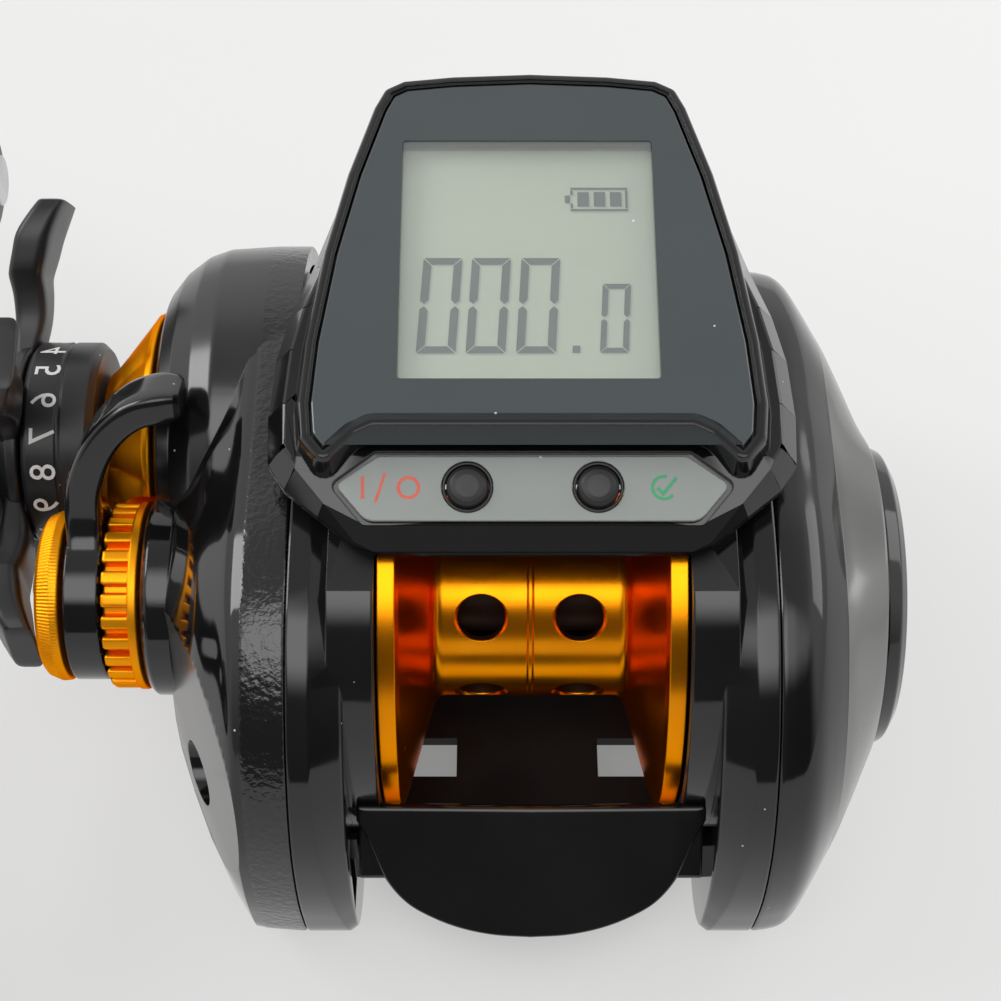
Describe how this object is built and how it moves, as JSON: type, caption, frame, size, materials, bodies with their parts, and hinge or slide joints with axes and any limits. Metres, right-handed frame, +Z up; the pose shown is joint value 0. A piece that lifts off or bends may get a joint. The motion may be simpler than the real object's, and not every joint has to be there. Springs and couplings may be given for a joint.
{
  "type": "digital baitcasting reel",
  "caption": "Low-profile baitcasting fishing reel with a digital line counter, star drag, double-knob handle, thumb-bar clutch, level wind and magnetic brake.",
  "frame": {"origin": "on the underside of the reel foot, straight below the spool axis", "axes": "+X towards the palm side along the spool axis, +Y towards the rod tip, +Z up from the rod through the display"},
  "size_m": [0.1219, 0.1012, 0.0594],
  "materials": {
    "gloss_black": "glossy black moulding with a faint orange-peel texture",
    "black_metal": "gloss black painted alloy frame",
    "satin_black": "satin black anodised or painted metal",
    "orange": "orange anodised aluminium, satin gloss",
    "steel": "ground steel",
    "brass": "cut gear brass",
    "silver": "nickel plated",
    "carbon": "woven fibre drag washer",
    "rubber": "soft black button rubber",
    "eva": "matt black foam-like grip",
    "lens": "tinted clear display lens",
    "lcd": "grey-green liquid crystal display",
    "panel": "pale grey-green button plate",
    "pcb": "green circuit board",
    "ceramic": "polished ceramic ring"
  },
  "bodies": {
    "reel_body": {"frame": "black_metal", "reel_foot": "satin_black", "foot_screw_front": "steel", "foot_screw_rear": "steel", "handle_side_cover": "gloss_black", "cover_screw": "steel", "palm_side_cover": "gloss_black", "inner_side_plate": "satin_black", "spool_bearing_left": "steel", "spool_bearing_right": "steel", "drive_shaft_bearing": "steel", "anti_reverse_bearing": "steel", "guide_rod": "steel", "front_hood": "gloss_black", "shaft_trim_cone": "orange", "counter_bracket": "gloss_black", "counter_housing": "gloss_black", "display_lens": "lens", "lcd_panel": "lcd", "circuit_board": "pcb", "battery": "silver", "battery_cover": "satin_black", "button_panel": "panel"},
    "handle": {"drive_shaft": "steel", "drive_gear": "brass", "levelwind_drive_cog": "satin_black", "drag_washer_inner": "carbon", "drag_plate": "steel", "drag_washer_outer": "carbon", "pressure_plate": "steel", "handle_arm": "satin_black", "handle_nut": "steel", "nut_cap": "orange", "knob_shaft_front": "steel", "knob_shaft_rear": "steel"},
    "star_drag": {"star_wheel": "satin_black", "star_collar": "satin_black"},
    "front_knob": {"handle_knob_front": "eva", "knob_cap_front": "orange"},
    "rear_knob": {"handle_knob_rear": "eva", "knob_cap_rear": "orange"},
    "spool": {"spool": "orange", "spool_shaft": "steel"},
    "clutch_yoke": {"clutch_yoke": "brass"},
    "pinion": {"pinion_gear": "brass"},
    "thumb_bar": {"thumb_bar": "gloss_black", "clutch_cam": "satin_black"},
    "worm": {"worm_shaft": "steel", "levelwind_worm_gear": "satin_black"},
    "line_guide": {"line_guide": "satin_black", "guide_ring": "ceramic"},
    "tension_knob": {"tension_wheel": "orange", "tension_cap": "orange"},
    "tension_lever": {"tension_ring": "gloss_black", "tension_lever": "gloss_black"},
    "brake_dial": {"brake_dial": "gloss_black"},
    "magnet_carriage": {"magnet_holder": "satin_black", "magnet_ring": "silver"},
    "power_button": {"button_power": "rubber"},
    "set_button": {"button_set": "rubber"}
  },
  "joints": [
    {"name": "handle_spin", "type": "hinge", "parent": "reel_body", "child": "handle", "pos_m": [0, 0.01822, 0.0242], "axis": [1, 0, 0], "continuous": true},
    {"name": "star_drag_turn", "type": "hinge", "parent": "handle", "child": "star_drag", "pos_m": [0, 0.01822, 0.0242], "axis": [1, 0, 0], "range_deg": [-180, 180]},
    {"name": "front_knob_spin", "type": "hinge", "parent": "handle", "child": "front_knob", "pos_m": [0, 0.05822, 0.0242], "axis": [1, 0, 0], "continuous": true},
    {"name": "rear_knob_spin", "type": "hinge", "parent": "handle", "child": "rear_knob", "pos_m": [0, -0.02178, 0.0242], "axis": [1, 0, 0], "continuous": true},
    {"name": "spool_spin", "type": "hinge", "parent": "reel_body", "child": "spool", "pos_m": [0, 0, 0.0232], "axis": [1, 0, 0], "continuous": true},
    {"name": "thumb_bar_press", "type": "slide", "parent": "reel_body", "child": "thumb_bar", "axis": [0, -0.25, -0.9682], "range_m": [0, 0.0045]},
    {"name": "clutch_yoke_slide", "type": "slide", "parent": "reel_body", "child": "clutch_yoke", "axis": [-1, 0, 0], "range_m": [0, 0.0012]},
    {"name": "pinion_spin", "type": "hinge", "parent": "clutch_yoke", "child": "pinion", "pos_m": [0, 0, 0.0232], "axis": [1, 0, 0], "continuous": true},
    {"name": "worm_spin", "type": "hinge", "parent": "reel_body", "child": "worm", "pos_m": [0, 0.0346, 0.0167], "axis": [1, 0, 0], "continuous": true},
    {"name": "line_guide_slide", "type": "slide", "parent": "reel_body", "child": "line_guide", "axis": [1, 0, 0], "range_m": [-0.009, 0.009]},
    {"name": "tension_knob_turn", "type": "hinge", "parent": "reel_body", "child": "tension_knob", "pos_m": [0, 0, 0.0232], "axis": [1, 0, 0], "range_deg": [-170, 170]},
    {"name": "tension_lever_swing", "type": "hinge", "parent": "reel_body", "child": "tension_lever", "pos_m": [0, 0, 0.0232], "axis": [1, 0, 0], "range_deg": [0, 35]},
    {"name": "brake_dial_turn", "type": "hinge", "parent": "reel_body", "child": "brake_dial", "pos_m": [0, 0, 0.0232], "axis": [1, 0, 0], "range_deg": [0, 270]},
    {"name": "magnet_slide", "type": "slide", "parent": "reel_body", "child": "magnet_carriage", "axis": [-1, 0, 0], "range_m": [0, 0.003]},
    {"name": "power_button_press", "type": "slide", "parent": "reel_body", "child": "power_button", "axis": [0, 0.5299, -0.848], "range_m": [0, 0.0006], "stiffness_N_per_m": 800},
    {"name": "set_button_press", "type": "slide", "parent": "reel_body", "child": "set_button", "axis": [0, 0.5299, -0.848], "range_m": [0, 0.0006], "stiffness_N_per_m": 800}
  ],
  "couplings": [
    {"joint": "spool_spin", "follows": "handle_spin", "ratio": -6.3},
    {"joint": "pinion_spin", "follows": "handle_spin", "ratio": -6.3},
    {"joint": "worm_spin", "follows": "handle_spin", "ratio": -2},
    {"joint": "clutch_yoke_slide", "follows": "thumb_bar_press", "ratio": 0.26667},
    {"joint": "magnet_slide", "follows": "brake_dial_turn", "m_per_rad": 0.000636}
  ]
}
